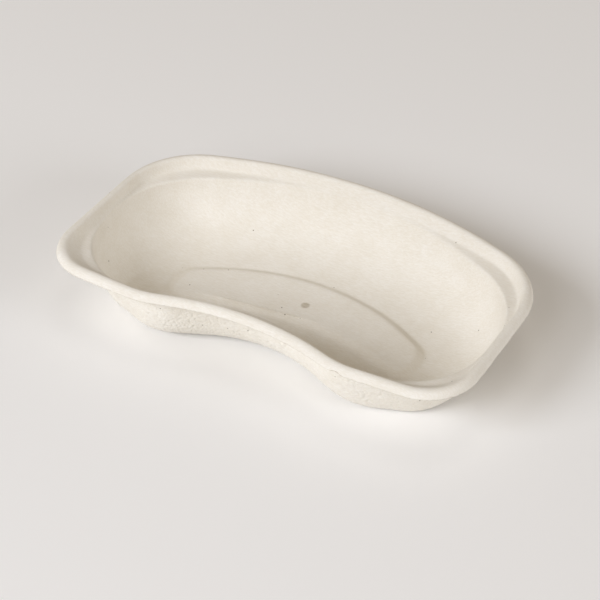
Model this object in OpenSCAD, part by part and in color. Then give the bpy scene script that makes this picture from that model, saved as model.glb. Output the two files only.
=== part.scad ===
// Kidney dish, pressed from one sheet of moulded plant-fibre pulp.
// Millimetres. +X is the long way, +Y is the full (convex) long side, +Z is up.
// Origin: middle of the footprint, on the surface the dish stands on.
// The dish is one wall of even thickness: rolled lip, steep band, corner ledges,
// bowl wall, flat foot round the floor, and a raised panel in the floor.

/* [Overall] */
// Length over the lip
length = 256; // [200:1:330]
// Width over the lip
width = 152; // [120:1:200]
// Height of the crest of the rim
height = 39.6; // [30:0.1:60]
// Thickness of the pulp sheet
wall_t = 1.5; // [1:0.1:2.5]

/* [Lip] */
// Radius of the roll on the outside of the crest
lip_r = 3.6; // [2.5:0.1:5]
// Slope of the skirt below the roll, in degrees below level
lip_slope = 72; // [20:1:80]
// Length of the straight skirt below the roll, down to the trimmed edge
lip_skirt = 1.9; // [0.5:0.1:5]
// Flat on the inside of the crest before it turns down
crest_in = 1.5; // [0.8:0.1:3]

/* [Rim plan, half: back middle, back corner, front corner, lobe, front middle] */
// Back middle
rim_back = [0, 93]; // [-160:0.5:160]
// Back corner
rim_back_corner = [122, 48]; // [-160:0.5:160]
// Front corner
rim_front_corner = [124.5, -65.5]; // [-160:0.5:160]
// Lobe, where the front starts to curve in
rim_lobe = [59.5, -68.5]; // [-160:0.5:160]
// Front middle
rim_front = [0, -48.5]; // [-160:0.5:160]
// Radii at those five corners
rim_radii = [259.5, 44.5, 26, 51.5, 157.5]; // [5:0.5:400]

/* [Steep band under the rim] */
// Depth of the band below the crest
band_depth = 6.3; // [4:0.1:10]
// Corners of its foot, in the same order
band_back = [0, 82.5]; // [-160:0.5:160]
// Back corner
band_back_corner = [121.5, 46.5]; // [-160:0.5:160]
// Front corner
band_front_corner = [118.5, -54.5]; // [-160:0.5:160]
// Lobe
band_lobe = [59, -65]; // [-160:0.5:160]
// Front middle
band_front = [0, -44.5]; // [-160:0.5:160]
// Radii at those five corners
band_radii = [282.5, 47.5, 28.5, 45.5, 138]; // [5:0.5:400]

/* [Mouth of the bowl, inner edge of the corner ledges] */
// Fall of the ledge from the band to the mouth
ledge_fall = 0.5; // [0.1:0.1:2]
// Back middle
mouth_back = [0, 89]; // [-160:0.5:160]
// Back corner
mouth_back_corner = [123.5, 30.5]; // [-160:0.5:160]
// Front corner
mouth_front_corner = [114, -56.5]; // [-160:0.5:160]
// Lobe
mouth_lobe = [54.5, -63.5]; // [-160:0.5:160]
// Front middle
mouth_front = [0, -35.5]; // [-160:0.5:160]
// Radii at those five corners
mouth_radii = [177.5, 56.5, 46, 28, 93]; // [5:0.5:400]

/* [Turn of the bowl wall, where wall and floor would meet if not rounded] */
// Back middle
turn_back = [0, 81.5]; // [-160:0.5:160]
// Back corner
turn_back_corner = [125.5, 25]; // [-160:0.5:160]
// Front corner
turn_front_corner = [106, -40]; // [-160:0.5:160]
// Lobe
turn_lobe = [55.5, -63]; // [-160:0.5:160]
// Front middle
turn_front = [0, -33]; // [-160:0.5:160]
// Radii at those five corners
turn_radii = [177, 48, 36.5, 27, 91.5]; // [5:0.5:400]

/* [Outer edge of the flat foot] */
// Back middle
foot_back = [0, 44.5]; // [-160:0.5:160]
// Back corner
foot_back_corner = [82, 5.5]; // [-160:0.5:160]
// Front corner
foot_front_corner = [109, -42]; // [-160:0.5:160]
// Lobe
foot_lobe = [66, -45.5]; // [-160:0.5:160]
// Front middle
foot_front = [0, -16]; // [-160:0.5:160]
// Radii at those five corners
foot_radii = [124.5, 45, 19, 41, 65.5]; // [5:0.5:400]

/* [Raised floor panel] */
// Height of the panel above the foot
panel_rise = 3.0; // [1:0.1:5]
// Width of the slope up to the panel
panel_run = 5.0; // [3:0.1:8]
// Back middle
panel_back = [0, 41.5]; // [-160:0.5:160]
// Back corner
panel_back_corner = [73.5, 0]; // [-160:0.5:160]
// Front corner
panel_front_corner = [73, -21]; // [-160:0.5:160]
// Lobe
panel_lobe = [37.5, -10]; // [-160:0.5:160]
// Front middle
panel_front = [0, -4]; // [-160:0.5:160]
// Radii at those five corners
panel_radii = [123.5, 10.5, 6, 27.5, 130.5]; // [5:0.5:400]

/* [Hidden] */
// chords in each rounded corner: back, back corner, front corner, lobe, front
arc_n = [12, 10, 10, 8, 10];
// straight steps after each corner
line_n = [1, 3, 2, 1];
// width of the flat ring between the panel's edge and its cap
cap_inset = 3;
pulp = [0.93, 0.90, 0.84];

// ---- plan outlines -------------------------------------------------------
// right half mirrored to the left, all eight corners, counter-clockwise
function mirrored(h) =
    [h[0], [-h[1].x, h[1].y], [-h[2].x, h[2].y], [-h[3].x, h[3].y],
     h[4], h[3], h[2], h[1]];
function eight(v) = [v[0], v[1], v[2], v[3], v[4], v[3], v[2], v[1]];
function unit(v) = v / norm(v);
// turn at corner i, in degrees, left positive
function turn(c, i) =
    let (n = len(c),
         a = c[i] - c[(i + n - 1) % n],
         b = c[(i + 1) % n] - c[i])
    atan2(a.x * b.y - a.y * b.x, a * b);
// length of straight used up by the rounding at corner i
function used(c, r, i) = r[i] * tan(abs(turn(c, i)) / 2);
// share of its radius that corner i keeps so that the straights never run out
function kept(c, r, i) =
    let (n = len(c), p = (i + n - 1) % n, q = (i + 1) % n)
    min(1,
        0.99 * norm(c[i] - c[p]) / (used(c, r, i) + used(c, r, p)),
        0.99 * norm(c[q] - c[i]) / (used(c, r, i) + used(c, r, q)));
// points on the rounding at corner i
function rounding(c, r, i, m) =
    let (n = len(c),
         d = unit(c[i] - c[(i + n - 1) % n]),
         t = turn(c, i),
         R = r[i] * kept(c, r, i),
         s = sign(t),
         start = c[i] - d * R * tan(abs(t) / 2),
         side = [-d.y, d.x] * s,
         mid = start + side * R)
    [for (k = [0:m])
        let (w = abs(t) * k / m)
        mid - side * R * cos(w) + d * R * sin(w)];
// whole outline: roundings joined by stepped straights
function outline(h, r) =
    let (c = mirrored(h), e = eight(r), a = eight(arc_n),
         s = concat(line_n, [line_n[3], line_n[2], line_n[1], line_n[0]]),
         arcs = [for (i = [0:7]) rounding(c, e, i, a[i])])
    [for (i = [0:7])
        let (p = arcs[i], q = arcs[(i + 1) % 8][0], z = p[len(p) - 1])
        for (v = concat(p, [for (k = [1:1:s[i] - 1]) z + (q - z) * k / s[i]])) v];
// outward direction at each point of an outline
function outward(o) =
    let (n = len(o))
    [for (i = [0:n - 1])
        let (d = unit(o[(i + 1) % n] - o[(i + n - 1) % n])) [d.y, -d.x]];
function moved(o, by) = let (w = outward(o)) [for (i = [0:len(o) - 1]) o[i] + w[i] * by];

// ---- sizing --------------------------------------------------------------
rim0 = outline([rim_back, rim_back_corner, rim_front_corner, rim_lobe, rim_front], rim_radii);
half0 = max([for (p = rim0) p.x]);
top0 = max([for (p = rim0) p.y]);
low0 = min([for (p = rim0) p.y]);
lip_reach = lip_r * sin(lip_slope) + lip_skirt * cos(lip_slope);
kx = (length / 2 - lip_reach) / half0;
ky = (width - 2 * lip_reach) / (top0 - low0);
function sized(o) = [for (p = o) [p.x * kx, (p.y - (top0 + low0) / 2) * ky]];
rim = sized(rim0);
band = sized(outline([band_back, band_back_corner, band_front_corner, band_lobe, band_front],
                     band_radii));
mouth = sized(outline([mouth_back, mouth_back_corner, mouth_front_corner, mouth_lobe,
                       mouth_front], mouth_radii));
corner = sized(outline([turn_back, turn_back_corner, turn_front_corner, turn_lobe, turn_front],
                       turn_radii));
foot = sized(outline([foot_back, foot_back_corner, foot_front_corner, foot_lobe, foot_front],
                     foot_radii));
panel = sized(outline([panel_back, panel_back_corner, panel_front_corner, panel_lobe,
                       panel_front], panel_radii));

// ---- upper skin: control rings from the lip's end to the panel -----------
function level(o, z) = [for (p = o) [p.x, p.y, z]];
// ring on the roll, at an angle from the top of the crest
function roll(a) = level(moved(rim, lip_r * sin(a)), height - lip_r * (1 - cos(a)));
lip_fall = lip_r * (1 - cos(lip_slope)) + lip_skirt * sin(lip_slope);
controls = [
    level(moved(rim, lip_reach), height - lip_fall),
    roll(lip_slope),
    roll(lip_slope * 3 / 4),
    roll(lip_slope / 2),
    roll(lip_slope / 4),
    level(rim, height),
    level(moved(rim, -crest_in), height),
    level(band, height - band_depth),
    level(mouth, height - band_depth - ledge_fall),
    level(corner, wall_t),
    level(foot, wall_t),
    level(moved(panel, panel_run), wall_t),
    level(panel, wall_t + panel_rise),
    level(moved(panel, -cap_inset), wall_t + panel_rise)
];
// per control ring: chords in its rounding (0 = a plain ring), reach of the
// rounding back and on in mm, largest share of the step it may use each way
bends = [
    [0], [0], [0], [0], [0], [0],
    [4, 9, 2.2, 1.0, 0.45],
    [3, 1.8, 1.8, 0.45, 0.45],
    [3, 1.8, 1.8, 0.45, 0.06],
    [8, 90, 90, 0.94, 1.0],
    [0],
    [2, 1.4, 1.4, 0.35, 0.45],
    [2, 1.4, 1.4, 0.45, 0.45],
    [0]
];
last = len(controls) - 1;
count = len(rim);

// direction square to the sheet on the step after control ring j, at station i
function square_to(j, i) =
    let (a = (i + 1) % count, b = (i + count - 1) % count,
         along = controls[j][a] - controls[j][b] + controls[j + 1][a] - controls[j + 1][b],
         step = controls[j + 1][i] - controls[j][i])
    unit(cross(along, step));
// the same ring on the underside, one sheet thickness below both its steps
function under(j) =
    [for (i = [0:count - 1])
        let (m = square_to(max(j - 1, 0), i),
             n = j == last ? [0, 0, 1] : square_to(j, i),
             p = j == 0 ? n : m)
        controls[j][i] - (p + n) * wall_t / (1 + p * n)];

// rings of one skin, with every bend rounded
function rounded_ring(c, j, k) =
    [for (i = [0:count - 1])
        let (v = c[j][i], b = c[j - 1][i] - v, f = c[j + 1][i] - v,
             u = min(bends[j][1] / norm(b), bends[j][3]),
             w = min(bends[j][2] / norm(f), bends[j][4]),
             t = k / bends[j][0])
        v + b * u * (1 - t) * (1 - t) + f * w * t * t];
// a bend that uses up the whole step before it leaves out its first ring
function skin(c) =
    [for (j = [0:last])
        if (bends[j][0] == 0 && !(j > 0 && bends[j - 1][0] > 0 && bends[j - 1][4] == 1)) c[j]
        else if (bends[j][0] > 0)
            for (k = [(bends[j][3] == 1 ? 1 : 0):bends[j][0]]) rounded_ring(c, j, k)];

upper = skin(controls);
lower = skin([for (j = [0:last]) under(j)]);

// ---- solid ---------------------------------------------------------------
rings = concat([for (k = [len(lower) - 1:-1:0]) lower[k]], upper);
points = [for (r = rings) for (p = r) p];
sides = [for (k = [0:len(rings) - 2])
    for (i = [0:count - 1])
        let (a = k * count + i,
             b = k * count + (i + 1) % count,
             c = (k + 1) * count + (i + 1) % count,
             d = (k + 1) * count + i)
        for (f = [[a, c, b], [a, d, c]]) f];
under_cap = [[for (i = [0:count - 1]) i]];
upper_cap = [[for (i = [count - 1:-1:0]) (len(rings) - 1) * count + i]];

// the one pressed sheet
module dish() {
    color(pulp)
        polyhedron(points = points, faces = concat(sides, under_cap, upper_cap),
                   convexity = 8);
}

dish();
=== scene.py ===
"""Kidney dish of moulded plant-fibre pulp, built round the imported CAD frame. Metres, +Z up."""

import math

import bmesh
import bpy
import numpy as np
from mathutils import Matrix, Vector, noise


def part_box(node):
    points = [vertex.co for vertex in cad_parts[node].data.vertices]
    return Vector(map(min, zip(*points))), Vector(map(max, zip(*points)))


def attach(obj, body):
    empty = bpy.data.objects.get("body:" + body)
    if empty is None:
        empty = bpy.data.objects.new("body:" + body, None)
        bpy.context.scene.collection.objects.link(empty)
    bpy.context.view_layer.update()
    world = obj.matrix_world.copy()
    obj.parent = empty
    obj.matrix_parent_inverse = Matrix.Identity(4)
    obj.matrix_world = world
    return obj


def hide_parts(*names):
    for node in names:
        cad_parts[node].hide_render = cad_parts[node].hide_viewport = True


MM = 0.001

# ---- the skin of the pressed sheet ----
WELD = 0.001 * MM  # corners of the CAD mesh nearer than this are one corner
TRIM_ANGLE = math.radians(60)  # only the two rims of the trimmed edge are sharper than this
TRIM_CREASE = 0.5  # how crisp those rims stay when the cage is smoothed, 0 to 1
SMOOTH_LEVELS = 3  # rounds of subdivision
GRAIN_CELL = 0.5 * MM  # spacing of the finished mesh

# ---- its relief ----
WAVE_FADE = 0.9  # how fast each finer octave of the noise weakens
WAVE_STEP = 2.0  # how much finer each octave is
SEED_STEPS = (17.3, -9.1, 5.7)  # shift in x, y and z that keeps two layers of noise apart
OUTSIDE_BELOW = -0.15  # skin whose normal rises less than this is all felted outside
INSIDE_ABOVE = 0.1  # skin whose normal rises more than this is all smooth inside
FELT_SIZE = 1.9 * MM  # width of the lumps on the side away from the wire
FELT_DEPTH = 0.17 * MM  # height of those lumps on the outside
WIRE_SIDE_DEPTH = 0.035 * MM  # what is left of them on the smooth inside
PIT_SIZE = 1.5 * MM  # spacing of the little pits between them
PIT_SHARE = 0.05  # the higher, the fewer the pits
PIT_DEPTH = 0.55 * MM
SAG_SIZE = 34 * MM  # width of the slow waves that drying leaves in the sheet
SAG_DEPTH = 0.12 * MM

# ---- its trimmed edge ----
PLAN_BINS = 720  # directions in which the outline is measured from above
SKIRT_STARTS = 3.0 * MM  # how far inside the outline the hanging skirt begins
SKIRT_FULL = 1.6 * MM  # from here out to the outline everything is skirt
EDGE_FULL = 0.5 * MM  # up to this far above the trimmed edge the skin only frays
EDGE_ENDS = 2.2 * MM  # from here up it has the relief of the rest
FRAY_SIZE = 1.5 * MM  # width of the fibre tufts along the trimmed edge
FRAY_DEPTH = 0.28 * MM
NICK_AT = 0.475  # where the torn nick in the front lip is, as a share of half the length
NICK_HALF = 4.0 * MM  # half the length of the nick
NICK_DEPTH = 1.7 * MM
NICK_WAVER = 0.6 * MM  # how far its torn line wanders sideways
EDGE_SHADOW_FULL = 0.1 * MM  # up to this far above the trimmed edge the painted shadow shows in full
EDGE_SHADOW_HEIGHT = 1.0 * MM  # how far up the painted shadow shows at all
EDGE_SHADOW_TORN = 2.5  # added to the tuft height below where the edge is torn, so the painted shadow fills the nick
EDGE_SHADOW_RANGE = (-2.2, 0.6)  # tuft height, in fray depths, from where no painted shadow shows to where all of it does

# ---- the pulp ----
CLOUD_SIZE = 14 * MM
CLOUD_STOPS = ((0.32, "#F0EBE0"), (0.68, "#F4F0E7"))  # thin pulp to thick pulp
# single fibres are 0.02 mm thick, too fine to show, so they are drawn as tufts
TUFT_CELLS = (330, 2000, 900)  # tufts to the metre: 3 mm long and 0.5 mm across
TUFT_TURNS = ((0.0, 0.0, 0.6), (0.2, 0.0, 2.3))  # the two ways they lie, in radians
TUFT_DARK = "#F8F6F2"
TUFT_PALE = "#FFFFFF"
SPECK_SPACING = 11 * MM
SPECK_COLOUR = "#8D8271"
# painted shadow: the dark line along the bottom of the lip's trimmed edge, where the lip meets the
# wall below
EDGE_SHADOW_COLOUR = "#BFB4A0"
TOOTH_SIZE = 0.9 * MM
TOOTH_DEPTH = 0.16 * MM

# ---- the floor ----
PAPER_COLOUR = "#FBFAF8"
FLOOR_HALF = 3.0
FLOOR_LEVEL = -0.05 * MM  # just below the foot, so the two never share a plane

# ---- the camera ----
TARGET = Vector((1.4, -8.4, 14.6)) * MM
AZIMUTH = 29.9  # degrees to the right of straight in front
ELEVATION = 38.3
DISTANCE = 1.383
LENS = 151.0  # on a 36 mm sensor

# ---- the light: name, degrees to the right of straight in front, degrees up, watts, colour ----
SOFTBOXES = (
    ("key", -30, 31, 51.0, "#F2F6FF"),
    ("front fill", 0, 35, 19.0, "#F2F6FF"),
    ("side kicker", 90, 18, 27.0, "#F2F6FF"),
    ("overhead", 180, 75, 7.0, "#FFFBF4"),
)
SOFTBOX_SIZE = 1.4
SOFTBOX_DISTANCE = 3.0
SURROUND_TINT = "#FFEDD4"  # bounce from warm studio walls
SURROUND_STRENGTH = 0.25


def linear(hex_colour):
    """An sRGB hex colour as linear red, green, blue and a full alpha."""
    shares = [int(hex_colour[i : i + 2], 16) / 255 for i in (1, 3, 5)]
    return [s / 12.92 if s <= 0.04045 else ((s + 0.055) / 1.055) ** 2.4 for s in shares] + [1.0]


def add(tree, kind, inputs=None, **settings):
    """Adds a node. Each input is a value for that socket, or another node's output to link to it."""
    new = tree.nodes.new(kind)
    for name, value in settings.items():
        setattr(new, name, value)
    for name, value in (inputs or {}).items():
        if isinstance(value, bpy.types.NodeSocket):
            tree.links.new(value, new.inputs[name])
        else:
            new.inputs[name].default_value = value
    return new


def blank_material(name):
    """A material with an empty node tree."""
    material = bpy.data.materials.new(name)
    material.use_nodes = True
    material.node_tree.nodes.clear()
    return material


def moulded_plant_fibre_pulp():
    """Moulded plant-fibre pulp: a slurry of short cane and bamboo fibres, sucked onto a wire
    mould and hot pressed.

    The eye sees a matt, warm off-white with soft clouds where the fibres lie thicker, fine
    criss-crossed fibre ends, and a few brown specks of bark. The outside, away from the wire,
    keeps a coarser felted tooth.
    """
    material = blank_material("moulded plant-fibre pulp")
    tree = material.node_tree
    place = add(tree, "ShaderNodeTexCoord").outputs["Object"]
    outside = add(tree, "ShaderNodeAttribute", attribute_name="outside").outputs["Fac"]

    clouds = add(
        tree, "ShaderNodeTexNoise",
        {"Vector": place, "Scale": 1 / CLOUD_SIZE, "Detail": 4.0, "Roughness": 0.55},
    )
    tufts = []
    for turn in TUFT_TURNS:
        turned = add(
            tree, "ShaderNodeMapping", {"Vector": place, "Rotation": turn, "Scale": TUFT_CELLS}
        )
        layer = add(
            tree, "ShaderNodeTexNoise",
            {"Vector": turned.outputs[0], "Scale": 1.0, "Detail": 3.0, "Distortion": 0.8},
        )
        tufts.append(layer.outputs["Fac"])
    fibres = add(tree, "ShaderNodeMath", {0: tufts[0], 1: tufts[1]}, operation="MULTIPLY")

    ground = add(tree, "ShaderNodeValToRGB", {"Fac": clouds.outputs["Fac"]})
    for stop, (position, tint) in zip(ground.color_ramp.elements, CLOUD_STOPS):
        stop.position = position
        stop.color = linear(tint)
    threads = add(
        tree, "ShaderNodeMapRange",
        {"Value": fibres.outputs[0], "From Min": 0.14, "From Max": 0.36},
    )
    thready = add(
        tree, "ShaderNodeMix",
        {"Factor": threads.outputs[0], "A": linear(TUFT_DARK), "B": linear(TUFT_PALE)},
        data_type="RGBA",
    )
    tinted = add(
        tree, "ShaderNodeMix",
        {"Factor": 1.0, "A": ground.outputs["Color"], "B": thready.outputs["Result"]},
        data_type="RGBA", blend_type="MULTIPLY",
    )

    # specks of bark up to 0.9 mm across, about one to every 15 square centimetres
    cells = add(
        tree, "ShaderNodeTexVoronoi",
        {"Vector": place, "Scale": 1 / SPECK_SPACING, "Randomness": 1.0},
    )
    near = add(
        tree, "ShaderNodeMapRange",
        {
            "Value": cells.outputs["Distance"],
            "From Min": 0.026,
            "From Max": 0.042,
            "To Min": 1.0,
            "To Max": 0.0,
        },
    )
    specked = add(
        tree, "ShaderNodeMix",
        {"Factor": near.outputs[0], "A": tinted.outputs["Result"], "B": linear(SPECK_COLOUR)},
        data_type="RGBA",
    )

    # painted shadow: a ragged dark line along the bottom of the trimmed edge, standing in for the
    # shade under the lip
    painted_edge_shadow = add(tree, "ShaderNodeAttribute", attribute_name="painted_edge_shadow")
    edge_shaded = add(
        tree, "ShaderNodeMix",
        {"Factor": painted_edge_shadow.outputs["Fac"], "A": specked.outputs["Result"], "B": linear(EDGE_SHADOW_COLOUR)},
        data_type="RGBA",
    )

    # tooth of the pressed surface, more than three times as deep on the felt side
    grain = add(
        tree, "ShaderNodeTexNoise",
        {"Vector": place, "Scale": 1 / TOOTH_SIZE, "Detail": 3.0, "Roughness": 0.6},
    )
    depth = add(tree, "ShaderNodeMapRange", {"Value": outside, "To Min": 0.25, "To Max": 0.9})
    height = add(
        tree, "ShaderNodeMath",
        {0: grain.outputs["Fac"], 1: depth.outputs[0]},
        operation="MULTIPLY",
    )
    tooth = add(
        tree, "ShaderNodeBump",
        {"Height": height.outputs[0], "Strength": 0.7, "Distance": TOOTH_DEPTH},
    )
    dry = add(
        tree, "ShaderNodeMapRange",
        {"Value": clouds.outputs["Fac"], "To Min": 0.84, "To Max": 0.96},
    )

    shader = add(
        tree, "ShaderNodeBsdfPrincipled",
        {
            "Base Color": edge_shaded.outputs["Result"],
            "Roughness": dry.outputs[0],
            "IOR": 1.45,
            "Specular IOR Level": 0.3,
            "Sheen Weight": 0.08,
            "Sheen Roughness": 0.6,
            "Normal": tooth.outputs["Normal"],
        },
    )
    add(tree, "ShaderNodeOutputMaterial", {"Surface": shader.outputs[0]})
    return material


def matt_backdrop_paper():
    """Matt white studio paper: an even, dull sheet that only takes soft shadow."""
    material = blank_material("matt backdrop paper")
    tree = material.node_tree
    shader = add(
        tree, "ShaderNodeBsdfPrincipled",
        {"Base Color": linear(PAPER_COLOUR), "Roughness": 0.95, "Specular IOR Level": 0.1},
    )
    add(tree, "ShaderNodeOutputMaterial", {"Surface": shader.outputs[0]})
    return material


def quad_cage(node):
    """The CAD sheet's mesh, welded and turned from triangles back into the quads of its rings."""
    mesh = bpy.data.meshes.new("cage")
    cage = bmesh.new()
    cage.from_mesh(node.data)
    bmesh.ops.remove_doubles(cage, verts=cage.verts, dist=WELD)
    bmesh.ops.join_triangles(
        cage,
        faces=cage.faces,
        angle_face_threshold=math.pi,
        angle_shape_threshold=math.pi,
        topology_influence=1.0,
    )
    crisp = cage.edges.layers.float.new("crease_edge")
    for edge in cage.edges:
        if edge.calc_face_angle(0) > TRIM_ANGLE:
            edge[crisp] = TRIM_CREASE
    cage.to_mesh(mesh)
    cage.free()
    return mesh


def even_skin(mesh):
    """The cage smoothed into one surface without facets, then meshed again in even cells."""
    rough = bpy.data.objects.new("rough", mesh)
    bpy.context.scene.collection.objects.link(rough)
    smooth = rough.modifiers.new("smooth", "SUBSURF")
    smooth.levels = SMOOTH_LEVELS
    smooth.render_levels = SMOOTH_LEVELS
    cells = rough.modifiers.new("cells", "REMESH")
    cells.mode = "VOXEL"
    cells.voxel_size = GRAIN_CELL
    finished = rough.evaluated_get(bpy.context.evaluated_depsgraph_get())
    skin = bpy.data.meshes.new_from_object(finished)
    bpy.data.objects.remove(rough)
    return skin


def waves(points, size, octaves, seed):
    """Smooth noise from about -1 to 1 at each point, in lumps of this size."""
    offset = Vector([seed * step for step in SEED_STEPS])
    return np.array(
        [noise.fractal(Vector(p) / size + offset, WAVE_FADE, WAVE_STEP, octaves) for p in points]
    )


def eased(values, low, high):
    """Each value's way from low to high, from 0 to 1, with a soft start and end."""
    share = np.clip((values - low) / (high - low), 0, 1)
    return share * share * (3 - 2 * share)


def past_outline(points):
    """How far each point is past the outline seen from above: 0 on it and negative inside it."""
    # known fault: taken as a share of the point's own radius, this comes back to 0 at the middle,
    # so a disc of floor 5 mm across there counts as skirt and takes the painted edge shadow's colour
    bearing = np.arctan2(points[:, 1], points[:, 0])
    radius = np.hypot(points[:, 0], points[:, 1])
    which = ((bearing + math.pi) / (2 * math.pi) * PLAN_BINS).astype(int) % PLAN_BINS
    outline = np.zeros(PLAN_BINS)
    np.maximum.at(outline, which, radius)
    bearings = (np.arange(PLAN_BINS) + 0.5) / PLAN_BINS * 2 * math.pi - math.pi
    reach = radius / np.interp(bearing, bearings, outline)
    return (reach - 1) * radius


def pulp_relief(mesh, box):
    """Gives the skin its felted outside, its drying waves, its frayed edge and its nick, and marks
    where the trimmed edge takes its painted shadow.
    """
    count = len(mesh.vertices)
    points = np.empty(count * 3)
    mesh.vertices.foreach_get("co", points)
    points = points.reshape(-1, 3)
    normals = np.empty(count * 3)
    mesh.vertices.foreach_get("normal", normals)
    normals = normals.reshape(-1, 3)
    low = np.array(box[0])
    high = np.array(box[1])

    outside = 1 - eased(normals[:, 2], OUTSIDE_BELOW, INSIDE_ABOVE)
    felt = waves(points, FELT_SIZE, octaves=3, seed=1)
    pits = np.clip(waves(points, PIT_SIZE, octaves=2, seed=2) - PIT_SHARE, 0, None)
    lift = felt * (WIRE_SIDE_DEPTH + (FELT_DEPTH - WIRE_SIDE_DEPTH) * outside)
    lift -= pits * PIT_DEPTH * outside
    lift += waves(points, SAG_SIZE, octaves=1, seed=3) * SAG_DEPTH

    # the trimmed edge hangs a few millimetres below the crest, all round the outline
    skirt = eased(past_outline(points), -SKIRT_STARTS, -SKIRT_FULL)
    edge_low = np.percentile(points[skirt > 0.99][:, 2], 1)
    edge = skirt * (1 - eased(points[:, 2] - edge_low, EDGE_FULL, EDGE_ENDS))
    fray = waves(points, FRAY_SIZE, octaves=3, seed=4)
    along = points[:, 0] - NICK_AT * high[0] + waves(points, FRAY_SIZE, octaves=2, seed=5) * NICK_WAVER
    torn = np.clip(1 - np.abs(along) / NICK_HALF, 0, 1) * (points[:, 1] < 0)
    above = points[:, 2] - edge_low - torn * NICK_DEPTH / 2
    # painted shadow: mask of the dark line along the bottom of the trimmed edge, ragged with the fibre
    # tufts
    painted_edge_shadow = skirt * (1 - eased(above, EDGE_SHADOW_FULL, EDGE_SHADOW_HEIGHT))
    painted_edge_shadow *= eased(fray + EDGE_SHADOW_TORN * torn, *EDGE_SHADOW_RANGE)

    points += normals * (lift * (1 - edge))[:, None]
    points[:, 2] += edge * (fray * FRAY_DEPTH + torn * NICK_DEPTH)
    np.clip(points, low, high, out=points)
    mesh.vertices.foreach_set("co", points.ravel())
    for name, values in (("outside", outside), ("painted_edge_shadow", painted_edge_shadow)):
        share = mesh.attributes.new(name, "FLOAT", "POINT")
        share.data.foreach_set("value", values)
    mesh.update()


def pressed_sheet():
    """The whole dish: one sheet, pressed and trimmed in one piece."""
    mesh = even_skin(quad_cage(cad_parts["dish"]))
    mesh.name = "pressed sheet"
    pulp_relief(mesh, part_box("dish"))
    mesh.shade_smooth()
    mesh.materials.clear()
    mesh.materials.append(moulded_plant_fibre_pulp())
    sheet = bpy.data.objects.new("pressed_sheet", mesh)
    bpy.context.scene.collection.objects.link(sheet)
    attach(sheet, "root")
    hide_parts("dish")


def studio_floor():
    """A square of backdrop paper under the dish."""
    mesh = bpy.data.meshes.new("studio floor")
    corners = [
        (x * FLOOR_HALF, y * FLOOR_HALF, FLOOR_LEVEL) for x, y in ((-1, -1), (1, -1), (1, 1), (-1, 1))
    ]
    mesh.from_pydata(corners, [], [(0, 1, 2, 3)])
    mesh.materials.append(matt_backdrop_paper())
    floor = bpy.data.objects.new("studio_floor", mesh)
    bpy.context.scene.collection.objects.link(floor)


def aim(thing, azimuth, elevation, distance):
    """Puts a camera or a light that far from the target, in that direction, and points it there."""
    turn = math.radians(azimuth)
    tilt = math.radians(elevation)
    back = Vector((math.sin(turn) * math.cos(tilt), -math.cos(turn) * math.cos(tilt), math.sin(tilt)))
    thing.location = TARGET + back * distance
    thing.rotation_euler = (-back).to_track_quat("-Z", "Y").to_euler()


def studio_light():
    """A soft key low in front on the left, a front fill, a kicker from the right, a weak overhead
    and a pale surround.
    """
    for name, azimuth, elevation, watts, tint in SOFTBOXES:
        lamp = bpy.data.lights.new(name, "AREA")
        lamp.shape = "DISK"
        lamp.size = SOFTBOX_SIZE
        lamp.energy = watts
        lamp.color = linear(tint)[:3]
        softbox = bpy.data.objects.new(name, lamp)
        bpy.context.scene.collection.objects.link(softbox)
        aim(softbox, azimuth, elevation, SOFTBOX_DISTANCE)
    world = bpy.data.worlds.new("pale surround")
    world.use_nodes = True
    surround = world.node_tree.nodes["Background"]
    surround.inputs["Color"].default_value = linear(SURROUND_TINT)
    surround.inputs["Strength"].default_value = SURROUND_STRENGTH
    bpy.context.scene.world = world


def camera():
    """The camera of the render, aimed at the target."""
    optics = bpy.data.cameras.new("camera")
    optics.lens = LENS
    eye = bpy.data.objects.new("camera", optics)
    bpy.context.scene.collection.objects.link(eye)
    aim(eye, AZIMUTH, ELEVATION, DISTANCE)
    bpy.context.scene.camera = eye


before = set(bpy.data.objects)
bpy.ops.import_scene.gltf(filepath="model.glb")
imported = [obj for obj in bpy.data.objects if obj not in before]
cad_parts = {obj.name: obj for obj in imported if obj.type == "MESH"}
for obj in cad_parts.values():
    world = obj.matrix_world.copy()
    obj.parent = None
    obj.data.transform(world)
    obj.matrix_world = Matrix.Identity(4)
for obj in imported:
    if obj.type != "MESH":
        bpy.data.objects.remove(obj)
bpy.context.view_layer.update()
pressed_sheet()
studio_floor()
studio_light()
camera()
bpy.context.scene.view_settings.view_transform = "Standard"
